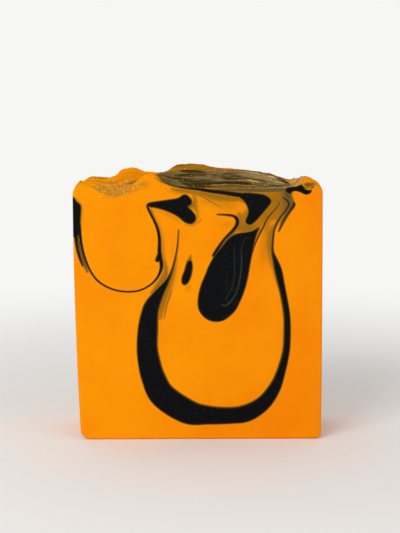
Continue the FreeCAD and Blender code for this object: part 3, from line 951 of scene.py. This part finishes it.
@dataclass
class SoapSlice:
    """The slice itself: one closed skin with its pour, haze and worked top written on it."""

    form: SliceForm
    top: WorkedTop
    finish: SoapFinish
    across: int = 248           # cells from side to side
    upward: int = 192           # cells from foot to top
    through: int = 80           # cells from the front cut to the back one
    edge_round: float = 0.5     # mm, where the wire's edge has worn
    rim_round: float = 0.2      # mm, along the worked top
    rim_wear: float = 0.4       # mm more where the spoon pressed the scoop over the rim
    worn_spot: tuple[float, float, float, float] = (-23.0, 0.0, 6.0, 1.0)
    nick: float = 0.12          # mm, the deepest nick in an edge
    wave: float = 0.035         # mm, the wire's waves in a cut face
    dent: float = 0.012         # mm, the dents of handling
    worked_from: float = 72.0   # mm above the foot, where the spoon's marks may begin
    top_from: float = 75.5      # mm above the foot, where the top's colours may begin
    evening: int = 150          # rounds that even out the net of a cut face
    wander: float = 1.2         # mm that the pour moves to the right, front to back
    sink: float = 1.6           # mm that it moves down, front to back

    def depths(self) -> np.ndarray:
        """Places of the rings along Y, closer together at the two rounded rims."""
        rim = self.edge_round * np.array([0.0, 0.2, 0.56])
        clear = 1.1 * self.edge_round
        inner = np.linspace(clear, self.form.thick - clear, self.through - 2 * len(rim) + 1)
        return self.form.low[1] + np.concatenate([rim, inner, self.form.thick - rim[::-1]])

    def aims(self) -> np.ndarray:
        """Where the rays of one ring aim: along the foot, up the right, back along the top, down the left."""
        left, right = self.form.low[0], self.form.high[0]
        x = np.linspace(left, right, self.across, endpoint=False)
        z = np.linspace(0.0, self.form.top_aim, self.upward, endpoint=False)
        foot = np.column_stack([x, np.zeros(self.across)])
        right_side = np.column_stack([np.full(self.upward, right), z])
        top = np.column_stack([-x + left + right, np.full(self.across, self.form.top_aim)])
        left_side = np.column_stack([np.full(self.upward, left), self.form.top_aim - z])
        return np.vstack([foot, right_side, top, left_side])

    def rings(self) -> np.ndarray:
        """Places of every ring, as [place round the ring, ring, x y z] in mm."""
        aims = self.aims()
        depths = self.depths()
        first = self.form.low[1] + 1.3 * self.edge_round    # the rays keep clear of the solid's edges
        last = self.form.high[1] - 1.3 * self.edge_round
        count = len(aims)
        shell = np.zeros((count, len(depths), 3))
        on_top = np.zeros(count, bool)      # the rings' places between the two upper corners
        on_top[self.across + self.upward:2 * self.across + self.upward + 1] = True
        for index, y in enumerate(depths):
            outline = self.form.ring(aims, float(np.clip(y, first, last)))
            depth = np.full(count, y - self.form.low[1])
            lift, _ = self.top.relief(outline[:, 0], depth)
            high_up = outline[:, 1] > self.worked_from
            lift = lift * rise(0.0, 1.6, self.form.from_sides(outline[:, 0]))
            outline[:, 1] += np.where(high_up, lift, 0.0)
            tangent = np.roll(outline, -1, axis=0) - np.roll(outline, 1, axis=0)
            tangent /= np.linalg.norm(tangent, axis=1)[:, None]
            inward = np.column_stack([-tangent[:, 1], tangent[:, 0]])
            rim = min(y - self.form.low[1], self.form.high[1] - y)
            cut = np.full(count, float(y > 0.0))
            nicks = self.nick * np.abs(lattice_noise(np.arange(count) / 7.0, cut, 51))
            worn = self.rim_wear * bump(outline[:, 0], np.zeros(count), self.worn_spot) * (y < 0.0)
            radius = np.where(on_top, self.rim_round + worn + nicks, self.edge_round + 0.8 * nicks)
            short = np.maximum(radius - rim, 0.0)
            inset = radius - np.sqrt(np.maximum(radius ** 2 - short ** 2, 0.0))
            shell[:, index, 0] = outline[:, 0] + inward[:, 0] * inset
            shell[:, index, 1] = y
            shell[:, index, 2] = np.maximum(outline[:, 1] + inward[:, 1] * inset, 0.0)
        return shell

    def cap(self, ring: np.ndarray, y: float) -> np.ndarray:
        """Fill a cut face with an even net, from the ring round it.

        Args:
            ring: Rows of (x, z) round the face.
            y: Place of the face along Y.

        Returns:
            Places as [column, row, x y z] in mm.
        """
        across, upward = self.across, self.upward
        foot = ring[:across + 1]
        right = ring[across:across + upward + 1]
        top = ring[across + upward:2 * across + upward + 1][::-1]
        left = np.vstack([ring[2 * across + upward:], ring[:1]])[::-1]
        u = np.linspace(0.0, 1.0, across + 1)[:, None, None]
        v = np.linspace(0.0, 1.0, upward + 1)[None, :, None]
        net = (1 - v) * foot[:, None] + v * top[:, None] + (1 - u) * left[None] + u * right[None]
        net -= (1 - u) * (1 - v) * foot[0] + u * (1 - v) * foot[-1] + (1 - u) * v * top[0] + u * v * top[-1]
        for _ in range(self.evening):
            inner = 0.25 * (net[:-2, 1:-1] + net[2:, 1:-1] + net[1:-1, :-2] + net[1:-1, 2:])
            net[1:-1, 1:-1] = inner
        flat = np.full(net.shape[:2], y)
        return np.stack([net[:, :, 0], flat, net[:, :, 1]], axis=2)

    def wavy(self, net: np.ndarray, outward: float) -> np.ndarray:
        """Give a cut face the faint waves and dents that the wire and handling leave."""
        x, z = net[:, :, 0], net[:, :, 2]
        edge = np.minimum(self.form.from_sides(x), np.minimum(z, 79.0 - z))
        inside = rise(0.6, 4.0, edge)
        waves = self.wave * layered_noise(x / 13.0, z / 9.0, 61)
        waves = waves + self.dent * layered_noise(x / 1.7, z / 1.7, 63)
        net[:, :, 1] += outward * inside * (waves - 0.03)
        return net

    def faces(self) -> tuple[np.ndarray, list[tuple[int, ...]]]:
        """Places and faces of the whole skin, with the cut in front finest.

        Returns:
            Rows of x y z in mm, and the corners of each face.
        """
        shell = self.rings()
        count, rings = shell.shape[:2]
        across, upward = self.across, self.upward
        front = self.wavy(self.cap(shell[:, 0][:, [0, 2]], shell[0, 0, 1]), -1.0)
        back = self.wavy(self.cap(shell[:, -1][:, [0, 2]], shell[0, -1, 1]), 1.0)
        number = np.arange(count * rings).reshape(count, rings)
        turns = np.vstack([number, number[:1]])
        places = [shell.reshape(-1, 3)]
        nets = {}
        for skin, net, ring in ((Skin.FRONT, front, 0), (Skin.BACK, back, rings - 1)):
            base = sum(len(block) for block in places)
            grid = base + np.arange((across + 1) * (upward + 1)).reshape(across + 1, upward + 1)
            grid[:, 0] = turns[:across + 1, ring]
            grid[-1, :] = turns[across:across + upward + 1, ring]
            grid[:, -1] = turns[across + upward:2 * across + upward + 1, ring][::-1]
            grid[0, :] = turns[2 * across + upward:, ring][::-1]
            nets[skin] = grid
            places.append(net.reshape(-1, 3))
        nets[Skin.FOOT] = turns[:across + 1]
        nets[Skin.RIGHT] = turns[across:across + upward + 1]
        nets[Skin.TOP] = turns[across + upward:2 * across + upward + 1]
        nets[Skin.LEFT] = turns[2 * across + upward:]
        corners = []
        for skin, grid in nets.items():
            if skin in (Skin.FRONT, Skin.TOP):
                patch = fine_patch(grid)
            else:
                patch = coarse_patch(grid)
            corners += patch if skin is Skin.FRONT else [face[::-1] for face in patch]
        return np.vstack(places), corners

    def pattern_place(self, places: np.ndarray) -> tuple[np.ndarray, np.ndarray]:
        """Where each place of the skin lies in the pour as it was read on the front cut."""
        through = (places[:, 1] - self.form.low[1]) / self.form.thick
        x, z = places[:, 0] - PLUMB_LINE, places[:, 2]
        sway = through * layered_noise(z / 14.0, through * 2.0, 71, 2)
        rock = through * layered_noise(x / 16.0, through * 2.0 + 4.0, 73, 2)
        side = rise(-36.0, -38.5, x) * rise(0.0, 0.2, through)
        ripple = 3.2 * side * layered_noise(through * 3.1, z / 9.0, 77, 2)
        return x - through * self.wander - 1.3 * sway, z + through * self.sink + 1.1 * rock + ripple

    def dress(self, mesh: bpy.types.Mesh, places: np.ndarray) -> None:
        """Write the pour, the drag lines, the tones and the ledges on the mesh.

        Args:
            mesh: The finished skin.
            places: Its places in mm.
        """
        x, z = self.pattern_place(places)
        depth = places[:, 1] - self.form.low[1]
        worked = self.top_share(mesh)
        on_top = worked * rise(0.2, 1.4, self.form.from_sides(places[:, 0]))
        on_top = np.where(places[:, 2] > self.top_from, on_top, 0.0)
        from_cut = np.minimum(depth, self.form.high[1] - places[:, 1])
        shown = 1.0 - on_top * rise(0.8, 3.2, from_cut)     # the spoon mixed the pour away on the top
        corner_of = np.empty(len(mesh.loops), int)
        mesh.loops.foreach_get("vertex_index", corner_of)
        starts = np.empty(len(mesh.polygons), int)
        mesh.polygons.foreach_get("loop_start", starts)
        for name, strokes in (("pour", POUR), ("drag", DRAGS)):
            values = dominant_strokes(strokes, x, z, corner_of, starts)
            values[:, 2] *= shown[corner_of]
            write_layer(mesh, name, "FLOAT_VECTOR", "CORNER", values)
        _, pale = self.top.relief(places[:, 0], depth)
        amber, olive, mica = self.top.tone(places[:, 0], depth)
        haze = browned(x, z) * (1.0 - on_top) + amber * on_top
        spill = self.spilled(places, x, z)
        mica = np.maximum(mica * on_top, spill)
        tone = np.column_stack([haze, olive * on_top, mica, np.maximum(worked, spill)])
        write_layer(mesh, "tone", "FLOAT_COLOR", "POINT", tone)
        glitter = np.clip(mica + on_top * (0.05 * olive + 0.02), 0.0, 1.0)
        crumbs = on_top * np.clip(0.5 * olive * rise(0.55, 0.9, pale) + 0.5 * mica, 0.0, 1.0)
        for name, shares in (("ledge", pale * on_top), ("glitter", glitter), ("crumbs", crumbs)):
            write_layer(mesh, name, "FLOAT", "POINT", shares)

    def spilled(self, places: np.ndarray, x: np.ndarray, z: np.ndarray) -> np.ndarray:
        """How much mica lies on each place of the front cut, where it ran over the rim.

        Args:
            places: Places of the skin, in mm.
            x: The same places along X in the pour.
            z: Their heights in the pour.

        Returns:
            Shares from 0 to 1.
        """
        near_rim = rise(2.0, 0.5, places[:, 1] - self.form.low[1])
        spill = np.zeros(len(x))
        for *spot, slope, strength in self.top.spills:
            level = places[:, 2] - slope * (places[:, 0] - spot[0])
            patch = bump(places[:, 0], level, spot) * near_rim
            patch = rise(0.1, 0.85, patch + 0.12 * layered_noise(x / 1.1, z / 0.7, 43))
            spill = np.maximum(spill, strength * patch)
        return spill

    def top_share(self, mesh: bpy.types.Mesh) -> np.ndarray:
        """How much each place belongs to the worked top: 1 where it faces up and 0 on the other faces."""
        normals = np.empty(len(mesh.vertices) * 3, np.float32)
        mesh.vertices.foreach_get("normal", normals)
        return rise(0.15, 0.6, normals.reshape(-1, 3)[:, 2])

    def build(self) -> bpy.types.Object:
        """Build the skin, dress it and hand it over.

        Returns:
            The slice, which stands for the CAD node.
        """
        places, corners = self.faces()
        used = np.unique(np.concatenate([np.array(face) for face in corners]))
        renumber = np.full(len(places), -1)
        renumber[used] = np.arange(len(used))
        places = places[used]
        corners = [tuple(renumber[list(face)].tolist()) for face in corners]
        mesh = bpy.data.meshes.new("soap_slice")
        mesh.from_pydata((places * MM).tolist(), [], corners)
        mesh.validate()
        mesh.shade_smooth()
        self.dress(mesh, places)
        mesh.materials.append(self.finish.build())
        piece = put_in_scene("soap_slice", mesh)
        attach(piece, BODY)
        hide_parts(CAD_NODE)
        LOG.info("soap_slice: %d places, %d faces", len(mesh.vertices), len(mesh.polygons))
        return piece


@dataclass(frozen=True)
class MicaFinish:
    """Gold mica: mineral flakes coated with iron oxide, dusted on dry, so each one glints by itself."""

    gold: str = "ffc850"
    brown: str = "dc9428"
    roughness: float = 0.35

    def build(self) -> bpy.types.Material:
        """Make the flake material, a little uneven from flake to flake."""
        # The eye gets warm pin-points of light, each as bright as its tilt to the lamps allows.
        material, tree = blank_material("gold_mica")
        place = add_node(tree, "ShaderNodeTexCoord").outputs["Object"]
        tint = add_node(tree, "ShaderNodeTexNoise", {"Vector": place, "Scale": 1.0 / (1.5 * MM)}).outputs[0]
        colour = add_node(tree, "ShaderNodeMix", {
            0: tint, 6: linear(self.brown), 7: linear(self.gold),
        }, data_type="RGBA").outputs[2]
        shader = add_node(tree, "ShaderNodeBsdfPrincipled", {
            "Base Color": colour, "Metallic": 0.85, "Roughness": self.roughness,
        })
        add_node(tree, "ShaderNodeOutputMaterial", {"Surface": shader.outputs[0]})
        return material


@dataclass(frozen=True)
class CrumbFinish:
    """Crumbs of torn soap: the same soap, pale and dull where it broke."""

    pale: str = "e0b070"
    brown: str = "a87432"

    def build(self) -> bpy.types.Material:
        """Make the crumb material."""
        # The eye gets small pale dots without any shine, some of them browner than the rest.
        material, tree = blank_material("torn_soap_crumbs")
        place = add_node(tree, "ShaderNodeTexCoord").outputs["Object"]
        tint = add_node(tree, "ShaderNodeTexNoise", {"Vector": place, "Scale": 1.0 / (2.0 * MM)}).outputs[0]
        sharp = add_node(tree, "ShaderNodeMapRange", {0: tint, 1: 0.4, 2: 0.6}).outputs[0]
        colour = add_node(tree, "ShaderNodeMix", {
            0: sharp, 6: linear(self.brown), 7: linear(self.pale),
        }, data_type="RGBA").outputs[2]
        shader = add_node(tree, "ShaderNodeBsdfPrincipled", {
            "Base Color": colour, "Roughness": 0.7, "Specular IOR Level": 0.2,
        })
        add_node(tree, "ShaderNodeOutputMaterial", {"Surface": shader.outputs[0]})
        return material


class Grain(Enum):
    """What is scattered over the worked top."""

    FLAKE = "flake"
    CRUMB = "crumb"


@dataclass
class Dusting:
    """Grains scattered over the worked top, thickest where an attribute of the slice says so."""

    name: str
    grain: Grain
    layer: str              # the slice's attribute that says how thick the dusting lies
    per_square_mm: float
    half_mm: float          # half the size of the largest grain
    material: bpy.types.Material
    seed: int

    def tree(self) -> bpy.types.NodeTree:
        """Build the tree that scatters, tilts and sizes the grains."""
        tree = bpy.data.node_groups.new(self.name, "GeometryNodeTree")
        for label, kind, way in (
            ("Slice", "NodeSocketGeometry", "INPUT"),
            ("Grains per square metre", "NodeSocketFloat", "INPUT"),
            ("Half size", "NodeSocketFloat", "INPUT"),
            ("Seed", "NodeSocketInt", "INPUT"),
            ("Grains", "NodeSocketGeometry", "OUTPUT"),
        ):
            tree.interface.new_socket(label, in_out=way, socket_type=kind)
        given = add_node(tree, "NodeGroupInput").outputs
        thick = add_node(tree, "GeometryNodeInputNamedAttribute", {"Name": self.layer}, data_type="FLOAT")
        density = add_node(tree, "ShaderNodeMath", {0: thick.outputs[0], 1: given["Grains per square metre"]},
                           operation="MULTIPLY").outputs[0]
        points = add_node(tree, "GeometryNodeDistributePointsOnFaces", {
            "Mesh": given["Slice"], "Density": density, "Seed": given["Seed"],
        })
        if self.grain is Grain.FLAKE:
            shape = add_node(tree, "GeometryNodeMeshCylinder", {"Vertices": 6, "Radius": 1.0, "Depth": 0.16})
        else:
            shape = add_node(tree, "GeometryNodeMeshIcoSphere", {"Radius": 1.0, "Subdivisions": 1})
        share = add_node(tree, "FunctionNodeRandomValue", {2: 0.45, 3: 1.0, "Seed": given["Seed"]},
                         data_type="FLOAT").outputs[1]
        size = add_node(tree, "ShaderNodeMath", {0: share, 1: given["Half size"]},
                        operation="MULTIPLY").outputs[0]
        tilt = add_node(tree, "FunctionNodeRandomValue", {
            0: (-0.5, -0.5, -3.1), 1: (0.5, 0.5, 3.1), "Seed": given["Seed"],
        }, data_type="FLOAT_VECTOR").outputs[0]
        tilted = add_node(tree, "FunctionNodeRotateRotation", {
            0: points.outputs["Rotation"], 1: tilt,
        }, rotation_space="LOCAL").outputs[0]
        grains = add_node(tree, "GeometryNodeInstanceOnPoints", {
            "Points": points.outputs["Points"], "Instance": shape.outputs[0],
            "Rotation": tilted, "Scale": size,
        })
        real = add_node(tree, "GeometryNodeRealizeInstances", {0: grains.outputs[0]})
        dressed = add_node(tree, "GeometryNodeSetMaterial", {
            "Geometry": real.outputs[0], "Material": self.material,
        })
        add_node(tree, "NodeGroupOutput", {"Grains": dressed.outputs[0]})
        return tree

    def scatter(self, slice_piece: bpy.types.Object) -> bpy.types.Object:
        """Scatter the grains over the slice and bake them to a plain mesh.

        Args:
            slice_piece: The slice that they lie on.

        Returns:
            The baked grains.
        """
        carrier = put_in_scene(self.name, slice_piece.data.copy())
        modifier = carrier.modifiers.new(self.name, "NODES")
        modifier.node_group = self.tree()
        sizes = {
            "Grains per square metre": self.per_square_mm / MM ** 2,
            "Half size": self.half_mm * MM,
            "Seed": self.seed,
        }
        for socket in modifier.node_group.interface.items_tree:
            if socket.name in sizes:
                modifier[socket.identifier] = sizes[socket.name]
        settled = carrier.evaluated_get(bpy.context.evaluated_depsgraph_get())
        baked = bpy.data.meshes.new_from_object(settled)
        baked.name = self.name
        carrier.modifiers.remove(modifier)
        carrier.data = baked
        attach(carrier, BODY)
        LOG.info("%s: %d faces", self.name, len(baked.polygons))
        return carrier


def browned(x: np.ndarray, z: np.ndarray) -> np.ndarray:
    """How far black has bled into the orange at each place of the pour: 0 nowhere and 1 fully."""
    haze = np.zeros(len(x))
    for *spot, strength in HAZE:
        haze = haze + strength * bump(x, z, spot)
    veiled = np.zeros(len(x))
    for index, veil in enumerate(VEILS):
        left, right = veil.banks(x, z)
        across = 0.8 * (right - left) if isinstance(veil, Streak) else 0.9 * x + 0.5 * z
        threads = layered_noise(across / 1.2, z / 9.0 + 3.0 * index, 81)
        cover = veil.ink * (0.9 + 0.2 * threads) * rise(-1.0, 1.0, np.minimum(left, right))
        veiled = np.maximum(veiled, cover)
    return 1.0 - (1.0 - np.clip(haze, 0.0, 1.0)) * (1.0 - np.clip(veiled, 0.0, 1.0))


def fine_patch(grid: np.ndarray) -> list[tuple[int, ...]]:
    """Join a net of places into cells of four corners."""
    cells = np.stack([grid[:-1, :-1], grid[1:, :-1], grid[1:, 1:], grid[:-1, 1:]], axis=2)
    return [tuple(cell) for cell in cells.reshape(-1, 4).tolist()]


def coarse_patch(grid: np.ndarray) -> list[tuple[int, ...]]:
    """Join every second place of a net into cells, with triangles out to all the places of its border.

    Args:
        grid: Numbers of the places, with an even count of cells each way.

    Returns:
        The corners of each face.
    """
    columns, rows = grid.shape[0] - 1, grid.shape[1] - 1
    faces = fine_patch(grid[2:columns - 1:2, 2:rows - 1:2])
    for turned, flip in ((grid, False), (grid[:, ::-1], True), (grid.T, True), (grid[::-1].T, False)):
        faces += border_row(turned, flip)
    for turned, flip in ((grid, False), (grid[::-1], True), (grid[:, ::-1], True), (grid[::-1, ::-1], False)):
        faces += border_corner(turned, flip)
    return faces


def border_row(grid: np.ndarray, flip: bool) -> list[tuple[int, ...]]:
    """Triangles between the first row of a net and the coarse row two cells in, without its two ends."""
    faces = []
    for column in range(2, grid.shape[0] - 3, 2):
        outer = grid[column:column + 3, 0]
        inner_start, inner_end = grid[column, 2], grid[column + 2, 2]
        faces.append((outer[0], outer[1], inner_start))
        faces.append((outer[1], inner_end, inner_start))
        faces.append((outer[1], outer[2], inner_end))
    return [tuple(int(place) for place in (face[::-1] if flip else face)) for face in faces]


def border_corner(grid: np.ndarray, flip: bool) -> list[tuple[int, ...]]:
    """Triangles that fan out from the first coarse place of a net to the corner of its border."""
    hub = grid[2, 2]
    rim = (grid[0, 2], grid[0, 1], grid[0, 0], grid[1, 0], grid[2, 0])
    faces = [(hub, start, end) for start, end in zip(rim, rim[1:])]
    return [tuple(int(place) for place in (face[::-1] if flip else face)) for face in faces]


def dominant_strokes(strokes: tuple[Streak | Drop, ...], x: np.ndarray, z: np.ndarray, corner_of: np.ndarray,
                     starts: np.ndarray) -> np.ndarray:
    """Pick the stroke that shows on each face, and say how its corners lie in it.

    Args:
        strokes: The strokes to choose from.
        x: Places along X in the plane of the front cut, in mm.
        z: Their heights, in mm.
        corner_of: The place that each corner of a face stands on.
        starts: The first corner of each face.

    Returns:
        For each corner, its depth inside the left and right bank and the stroke's ink.
    """
    far = 8.0       # edge widths beyond which a stroke's depth no longer matters
    reach = 6.0     # mm round a stroke in which it is worked out
    sizes = np.diff(np.append(starts, len(corner_of)))
    best = np.full(len(starts), -np.inf)
    values = np.zeros((len(corner_of), 3))
    values[:, :2] = -far
    for stroke in strokes:
        points = np.array(stroke.stations if isinstance(stroke, Streak) else stroke.outline)[:, :2]
        low, high = points.min(axis=0) - reach, points.max(axis=0) + reach
        near = (x > low[0]) & (x < high[0]) & (z > low[1]) & (z < high[1])
        left = np.full(len(x), -far)
        right = np.full(len(x), -far)
        left[near], right[near] = stroke.banks(x[near], z[near])
        left = np.clip(left, -far, far)
        right = np.clip(right, -far, far)
        inside = np.minimum(left, right)[corner_of]
        depth = np.add.reduceat(inside, starts) / sizes
        wins = depth > best
        best = np.where(wins, depth, best)
        taken = np.repeat(wins, sizes)
        values[taken, 0] = left[corner_of][taken]
        values[taken, 1] = right[corner_of][taken]
        values[taken, 2] = stroke.ink
    return values


@dataclass
class Studio:
    """Pale floor, soft lamps and the camera at the photograph's angle."""

    floor_colour: str = "eeedea"
    backdrop_colour: str = "f6f6f5"
    fade_end: float = 0.3           # metres from the slice to where the floor is plain white
    camera_place: tuple[float, float, float] = (-4.48, -410.14, 120.29)     # mm
    camera_turn: float = -0.7       # degrees, to the left of straight on
    camera_dip: float = 9.28        # degrees, looking down
    focal_pixels: float = 1300.0
    image_height: float = 533.0
    sensor_mm: float = 36.0
    floor_half: float = 3.0         # metres
    room_light: float = 0.5
    lamp_aim: tuple[float, float, float] = (0.0, 0.0, 0.04)     # metres
    # Each lamp's name, place in metres, side in metres and power in watts.
    lamps: tuple[tuple[str, tuple[float, float, float], float, float], ...] = (
        ("window", (-0.45, -0.6, 0.5), 0.5, 3.7),
        ("fill", (0.6, -0.5, 0.3), 0.6, 1.2),
        ("overhead", (-0.1, 0.3, 0.7), 0.6, 0.8),
    )

    def camera(self) -> None:
        """Set the camera up."""
        data = bpy.data.cameras.new("camera")
        data.sensor_width = self.sensor_mm
        data.lens = self.focal_pixels * self.sensor_mm / self.image_height
        data.clip_start = 0.01
        turn, dip = math.radians(self.camera_turn), math.radians(self.camera_dip)
        back = Vector((math.sin(turn) * math.cos(dip), -math.cos(turn) * math.cos(dip), math.sin(dip)))
        right = Vector((math.cos(turn), math.sin(turn), 0.0))
        up = back.cross(right)
        stand = Matrix((right, up, back)).transposed().to_4x4()
        stand.translation = Vector(self.camera_place) * MM
        camera = put_in_scene("camera", data)
        camera.matrix_world = stand
        bpy.context.scene.camera = camera

    def lamp(self, name: str, place: tuple[float, float, float], size: float, power: float) -> None:
        """Hang a square soft lamp that looks at the slice.

        Args:
            name: The lamp's name.
            place: Where it hangs, in metres.
            size: Its side, in metres.
            power: Its power in watts.
        """
        data = bpy.data.lights.new(name, "AREA")
        data.size = size
        data.energy = power
        lamp = put_in_scene(name, data)
        lamp.location = place
        lamp.rotation_euler = (Vector(place) - Vector(self.lamp_aim)).to_track_quat("Z", "Y").to_euler()

    def floor(self) -> None:
        """Lay the floor."""
        half = self.floor_half
        mesh = bpy.data.meshes.new("floor")
        mesh.from_pydata([(-half, -half, 0.0), (half, -half, 0.0), (half, half, 0.0), (-half, half, 0.0)],
                         [], [(0, 1, 2, 3)])
        mesh.materials.append(self.paper())
        floor = put_in_scene("floor", mesh)

    def paper(self) -> bpy.types.Material:
        """Matt white paper, which the camera sees run out into plain white away from the slice."""
        # The eye gets a soft shadow on the sheet and no edge or horizon behind the slice.
        material, tree = blank_material("matt_paper")
        place = add_node(tree, "ShaderNodeTexCoord").outputs["Object"]
        away = add_node(tree, "ShaderNodeVectorMath", {0: place}, operation="LENGTH").outputs["Value"]
        far = add_node(tree, "ShaderNodeMapRange", {0: away, 1: 0.05, 2: self.fade_end},
                       interpolation_type="SMOOTHERSTEP").outputs[0]
        share = add_node(tree, "ShaderNodeMath", {0: far, 1: self.shown(tree)},
                         operation="MULTIPLY").outputs[0]
        paper = add_node(tree, "ShaderNodeBsdfDiffuse", {"Color": linear(self.floor_colour)})
        white = add_node(tree, "ShaderNodeEmission", {"Color": linear(self.backdrop_colour)})
        mixed = add_node(tree, "ShaderNodeMixShader", {0: share, 1: paper.outputs[0], 2: white.outputs[0]})
        add_node(tree, "ShaderNodeOutputMaterial", {"Surface": mixed.outputs[0]})
        return material

    def shown(self, tree: bpy.types.NodeTree) -> bpy.types.NodeSocket:
        """Say whether a ray only shows the room: to the camera, in a gloss or through something clear."""
        rays = add_node(tree, "ShaderNodeLightPath").outputs
        shown = rays["Is Camera Ray"]
        for kind in ("Is Glossy Ray", "Is Transmission Ray"):
            shown = add_node(tree, "ShaderNodeMath", {0: shown, 1: rays[kind]},
                             operation="MAXIMUM").outputs[0]
        return shown

    def sky(self) -> None:
        """Fill the room with a plain soft light, and show it white to the camera."""
        world = bpy.data.worlds.new("room")
        bpy.context.scene.world = world
        world.use_nodes = True
        tree = world.node_tree
        tree.nodes.clear()
        dim, white = (
            add_node(tree, "ShaderNodeBackground", {"Color": linear(code), "Strength": strength}).outputs[0]
            for code, strength in (("ffffff", self.room_light), (self.backdrop_colour, 1.0))
        )
        mixed = add_node(tree, "ShaderNodeMixShader", {0: self.shown(tree), 1: dim, 2: white})
        add_node(tree, "ShaderNodeOutputWorld", {"Surface": mixed.outputs[0]})

    def build(self) -> None:
        """Set up everything that isn't part of the object."""
        bpy.context.scene.view_settings.view_transform = "Standard"
        self.camera()
        self.floor()
        self.sky()
        for name, place, size, power in self.lamps:
            self.lamp(name, place, size, power)
        LOG.info("studio: camera, floor and %d lamps", len(self.lamps))


def main() -> None:
    """Build the slice, the grains on it and its studio."""
    logging.basicConfig(level=logging.INFO)
    form = SliceForm(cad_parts[CAD_NODE])
    slice_piece = SoapSlice(form, WorkedTop(), SoapFinish()).build()
    Dusting("mica_dusting", Grain.FLAKE, "glitter", 3.2, 0.2, MicaFinish().build(), 7).scatter(slice_piece)
    Dusting("torn_crumbs", Grain.CRUMB, "crumbs", 0.5, 0.3, CrumbFinish().build(), 11).scatter(slice_piece)
    Studio().build()


if __name__ == "__main__":
    main()
